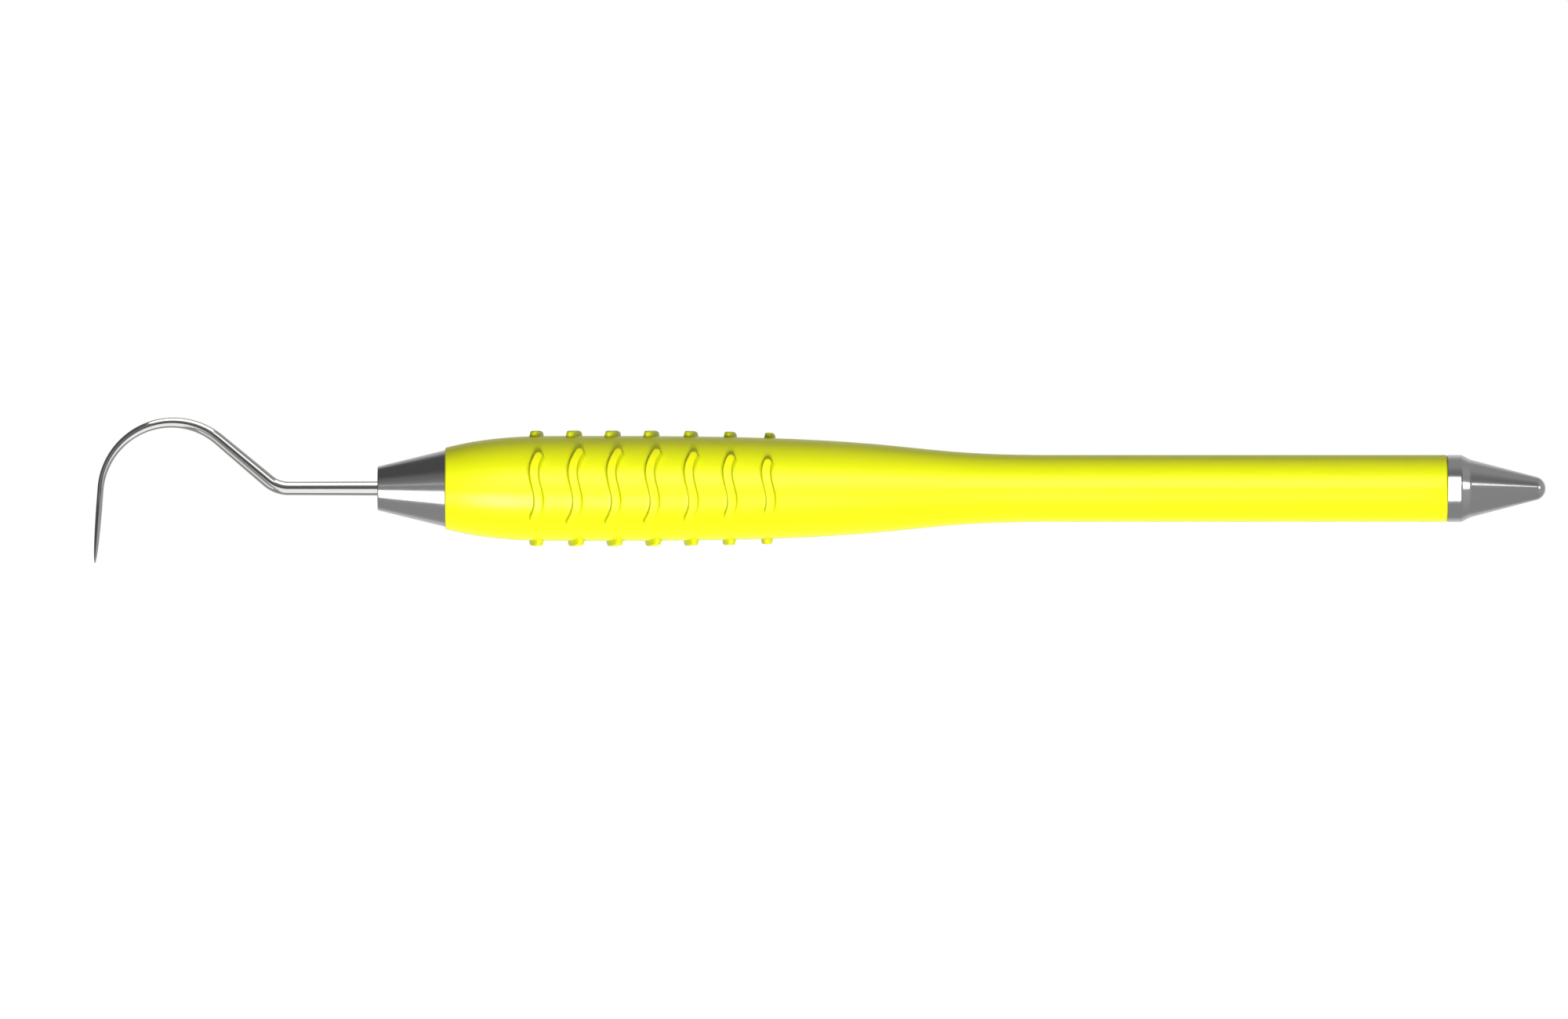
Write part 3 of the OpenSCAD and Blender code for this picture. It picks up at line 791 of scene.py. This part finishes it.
class HANDSCALER_OT_bushes(bpy.types.Operator):
    """Make the two flanged bushes, with the thread that the spigots screw into"""
    bl_idname = "hand_scaler.bushes"
    bl_label = "Bushes"

    def execute(self, context):
        settings = context.scene.hand_scaler
        sizes = settings.turned
        bore = sizes.thread_radius + sizes.running_gap
        seat = sizes.thread_radius + 2 * sizes.seal_section
        body_radius = TUBE_RADIUS - TUBE_WALL
        thread_rings = 130
        rows = np.linspace(BUSH_LENGTH - 2 * EDGE_HOLD, THREAD_START, thread_rings)
        for name, node, face, side, flange in (
                ("front_threaded_bush", "front_bush", 0, 1, FLANGE_RADIUS),
                ("rear_threaded_bush", "rear_bush", SLEEVE_LENGTH, -1, TUBE_RADIUS)):
            shell = rounded([
                (FLANGE_THICKNESS, seat, 0), (0, seat, 0.08 * MM), (0, flange, 0.08 * MM),
                (FLANGE_THICKNESS, flange, 0.05 * MM), (FLANGE_THICKNESS, body_radius, 0),
                (BUSH_LENGTH, body_radius, 0.15 * MM), (BUSH_LENGTH, bore, 0.1 * MM),
                (rows[0], bore, 0)])[:-1]
            outline = np.concatenate([shell, np.stack([rows, np.full(len(rows), bore)], -1)])
            outline[:, 0] = face + side * outline[:, 0]
            ends = sorted([face + side * (BUSH_LENGTH - EDGE_HOLD), face + side * THREAD_START])
            piece = turned(name, outline, thread=ridge(sizes, *ends), ring=True)
            finish_piece(piece, bush_stainless(settings.finishes), "handle", node)
        return {"FINISHED"}


class HANDSCALER_OT_core(bpy.types.Operator):
    """Give the core tube and the former, which keep their CAD shapes, their own finishes"""
    bl_idname = "hand_scaler.core"
    bl_label = "Core"

    def execute(self, context):
        finishes = context.scene.hand_scaler.finishes
        drawn = turned_steel("drawn tube steel", finishes.tube, 0.2, 0.34, 0.5 * MM)
        for node, finish in (("core_tube", drawn), ("grip_former", moulded_former(finishes))):
            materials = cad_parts[node].data.materials
            materials.clear()
            materials.append(finish)
        return {"FINISHED"}


# Stage ------------------------------------------------------------------------------------------------

LAMP_HEIGHT = 0.3        # of the softboxes that hang level over the object, in metres


def softbox(name, centre, aim, size, radiance, pieces=(), glossy=True, diffuse=False):
    """A rectangular lamp of even radiance, facing its aim. The camera doesn't see it.

    Its power is pi times radiance times area. It lights only the named pieces, or everything if none is
    named, as a lamp does that black cards keep off the rest. glossy and diffuse say whether it shows as a
    reflection and whether it lights matt colour.
    """
    lamp = bpy.data.lights.new(name, "AREA")
    lamp.shape, lamp.size, lamp.size_y = "RECTANGLE", size[0], size[1]
    lamp.energy = math.pi * radiance * size[0] * size[1]
    holder = bpy.data.objects.new(name, lamp)
    bpy.context.scene.collection.objects.link(holder)
    holder.location = centre
    towards = Vector(aim) - Vector(centre)
    holder.rotation_euler = towards.to_track_quat("-Z", "Y").to_euler()
    holder.visible_camera, holder.visible_glossy, holder.visible_diffuse = False, glossy, diffuse
    if pieces:
        lit = bpy.data.collections.new("lit by " + name)
        for piece in pieces:
            lit.objects.link(bpy.data.objects[piece])
        holder.light_linking.receiver_collection = lit


def overhead(name, low, high, radiance, *pieces):
    """A softbox that hangs level at LAMP_HEIGHT and spans from corner low to corner high in x and y."""
    centre = ((low[0] + high[0]) / 2, (low[1] + high[1]) / 2)
    size = (high[0] - low[0], high[1] - low[1])
    softbox(name, (*centre, LAMP_HEIGHT), (*centre, 0), size, radiance, pieces)


class HANDSCALER_OT_stage(bpy.types.Operator):
    """Make the pale floor, the soft studio lights and the camera"""
    bl_idname = "hand_scaler.stage"
    bl_label = "Stage"

    def execute(self, context):
        scene = context.scene
        settings = scene.hand_scaler
        stage = settings.stage
        self.make_floor(settings)
        self.make_world(scene, stage)
        self.make_lamps(stage)

        camera = bpy.data.objects.new("camera", bpy.data.cameras.new("camera"))
        scene.collection.objects.link(camera)
        camera.data.lens = stage.lens
        distance = stage.frame_width * stage.lens / camera.data.sensor_width
        camera.location = (FRONT_FACE + stage.look_station, stage.look_height, distance)
        camera.data.clip_start, camera.data.clip_end = distance / 10, distance * 10
        scene.camera = camera
        scene.view_settings.view_transform = "Standard"
        return {"FINISHED"}

    def make_lamps(self, stage):
        """The lamps: one key for the matt colour, and softboxes that show in the steel and on the sleeve."""
        softbox("key", (-0.05, -0.26, 0.62), (-0.05, 0, 0), (0.2, 0.2), stage.key, glossy=False, diffuse=True)
        overhead("upper sleeve box", (-0.18, 0.01), (0.1, 0.22), 4.6, "sleeve_with_ribs")
        overhead("lower sleeve box", (-0.2, -0.27), (-0.11, -0.09), 22.0, "sleeve_with_ribs")
        overhead("lower sleeve fill", (-0.26, -0.3), (0.05, -0.07), 2.0, "sleeve_with_ribs")
        overhead("cone box", (-0.4, -0.357), (-0.18, -0.053), stage.softbox, "wire_cone")
        overhead("cone strip", (-0.42, 0.07), (-0.2, 0.09), 0.5, "wire_cone")
        overhead("collar box", (-0.04, -0.29), (0.09, 0.25), stage.softbox, "nose_cap")
        overhead("cap strip", (0.13, 0.085), (0.24, 0.121), stage.softbox, "nose_cap")
        softbox("nose box", (0.38, 0.06, 0.22), (0.03, 0, 0), (0.13, 0.1), stage.softbox, ("nose_cap",))
        softbox("arch box", (-0.1, 0.25, 0.07), (-0.1, 0, 0.07), (0.24, 0.24), stage.softbox, ("wire_hook",))
        softbox("slant box", (0.06, 0.2, 0.22), (-0.12, 0, 0), (0.12, 0.12), stage.softbox, ("wire_hook",))
        softbox("hook fill", (-0.03, -0.25, 0.25), (-0.03, 0, 0), (0.36, 0.54), 0.95, ("wire_hook",))
        softbox("low hook fill", (-0.32, -0.24, 0.14), (-0.12, 0, 0), (0.16, 0.16), 0.8, ("wire_hook",))

    def make_floor(self, settings):
        """A large plane just under the middle ribs and the cap's collar, as a table that they rest on."""
        ribs = settings.ribs
        clearance = 0.15 * MM
        rib_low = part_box("grip_sleeve")[0].z - clearance
        rib_x = FRONT_FACE + ribs.first + len(RIB_HALF_ANGLES) // 2 * ribs.pitch
        collar_x = REAR_FACE + settings.turned.collar_length
        slope = (-SHAFT_RADIUS - rib_low) / (collar_x - rib_x)
        reach = 3.0
        x = np.array([-reach, reach, reach, -reach])
        y = np.array([-reach, -reach, reach, reach])
        z = rib_low + slope * (x - rib_x)
        mesh = bpy.data.meshes.new("floor")
        mesh.from_pydata(np.stack([x, y, z], -1).tolist(), [], [(0, 1, 2, 3)])
        floor = bpy.data.objects.new("floor", mesh)
        bpy.context.scene.collection.objects.link(floor)
        floor.visible_glossy, floor.visible_shadow = False, False
        finish, tree, shader = blank("pale floor")
        ray = add(tree, "ShaderNodeLightPath")
        glow = add(tree, "ShaderNodeEmission", {"Color": settings.stage.floor, "Strength": 1.0})
        mix = add(tree, "ShaderNodeMixShader", {},
                  {0: ray.outputs["Is Camera Ray"], 1: shader.outputs["BSDF"], 2: glow.outputs["Emission"]})
        tree.links.new(mix.outputs["Shader"], tree.nodes["Material Output"].inputs["Surface"])
        settle(shader, Base_Color=settings.stage.floor_matt, Roughness=0.9)
        mesh.materials.append(finish)

    def make_world(self, scene, stage):
        """The studio round the object: a grey that changes with the direction it is seen in.

        It is paler below, a little paler towards +X, and darker straight overhead, high up towards +Y, and
        lower down between -X and +Y. Each of these is a smooth step along one axis of the direction, or a
        product of two or three. The camera sees white past the floor instead.
        """
        world = bpy.data.worlds.new("studio")
        scene.world = world
        world.use_nodes = True
        tree = world.node_tree
        direction = add(tree, "ShaderNodeTexCoord").outputs["Generated"]
        axes = add(tree, "ShaderNodeSeparateXYZ", {}, {"Vector": direction}).outputs

        def step(axis, low, high):
            return add(tree, "ShaderNodeMapRange",
                       {"interpolation_type": "SMOOTHSTEP", "From Min": low, "From Max": high},
                       {"Value": axes[axis]}).outputs["Result"]

        def combine(operation, first, second, third=0.0):
            slots = {k: v for k, v in enumerate((first, second, third))}
            settings = {"operation": operation} | {k: v for k, v in slots.items() if isinstance(v, float)}
            links = {k: v for k, v in slots.items() if not isinstance(v, float)}
            return add(tree, "ShaderNodeMath", settings, links).outputs["Value"]

        left = combine("MULTIPLY", step("X", -0.05, -0.25), step("Z", 0.93, 0.42))
        left_back = combine("MULTIPLY", left, step("Y", -0.35, 0.05))
        overhead_back = combine("MULTIPLY", step("Y", 0.1, 0.6), step("Z", 0.1, 0.65))
        back = combine("MULTIPLY", overhead_back, 0.6)
        unlit = combine("MAXIMUM", combine("MAXIMUM", left_back, back), step("Z", 0.88, 0.97))
        plain, paler_right, paler_below, darker = 0.38, 0.09, 0.36, -0.28
        right = combine("MULTIPLY_ADD", step("X", 0.55, 0.8), paler_right, plain)
        wall = combine("MULTIPLY_ADD", unlit, darker, right)
        strength = combine("MULTIPLY_ADD", step("Z", -0.45, -0.85), paler_below, wall)
        grey = tree.nodes["Background"]
        settle(grey, Color=(1, 1, 1, 1))
        tree.links.new(strength, grey.inputs["Strength"])
        white = add(tree, "ShaderNodeBackground", {"Color": stage.floor})
        ray = add(tree, "ShaderNodeLightPath")
        mix = add(tree, "ShaderNodeMixShader", {}, {
            0: ray.outputs["Is Camera Ray"], 1: grey.outputs["Background"], 2: white.outputs["Background"]})
        tree.links.new(mix.outputs["Shader"], tree.nodes["World Output"].inputs["Surface"])


class HANDSCALER_PT_panel(bpy.types.Panel):
    """Lists the operators in the 3D view's sidebar"""
    bl_label = "Hand scaler"
    bl_space_type = "VIEW_3D"
    bl_region_type = "UI"
    bl_category = "Scaler"

    def draw(self, context):
        for operator in OPERATORS:
            self.layout.operator(operator.bl_idname)


GROUPS = (SleeveSizes, RibSizes, HookSizes, TurnedSizes, Finishes, StageSettings, ScalerSettings)
OPERATORS = (HANDSCALER_OT_sleeve, HANDSCALER_OT_hook, HANDSCALER_OT_front_cone, HANDSCALER_OT_end_cap,
             HANDSCALER_OT_seals, HANDSCALER_OT_bushes, HANDSCALER_OT_core, HANDSCALER_OT_stage)


def register():
    """Registers the classes and hangs the settings on the scene."""
    for item in (*GROUPS, *OPERATORS, HANDSCALER_PT_panel):
        bpy.utils.register_class(item)
    bpy.types.Scene.hand_scaler = PointerProperty(type=ScalerSettings)


def unregister():
    """Takes the settings and the classes away again."""
    del bpy.types.Scene.hand_scaler
    for item in reversed((*GROUPS, *OPERATORS, HANDSCALER_PT_panel)):
        bpy.utils.unregister_class(item)


def main():
    """Builds every piece and the stage."""
    register()
    bpy.ops.hand_scaler.sleeve()
    bpy.ops.hand_scaler.hook()
    bpy.ops.hand_scaler.front_cone()
    bpy.ops.hand_scaler.end_cap()
    bpy.ops.hand_scaler.seals()
    bpy.ops.hand_scaler.bushes()
    bpy.ops.hand_scaler.core()
    bpy.ops.hand_scaler.stage()


if __name__ == "__main__":
    main()
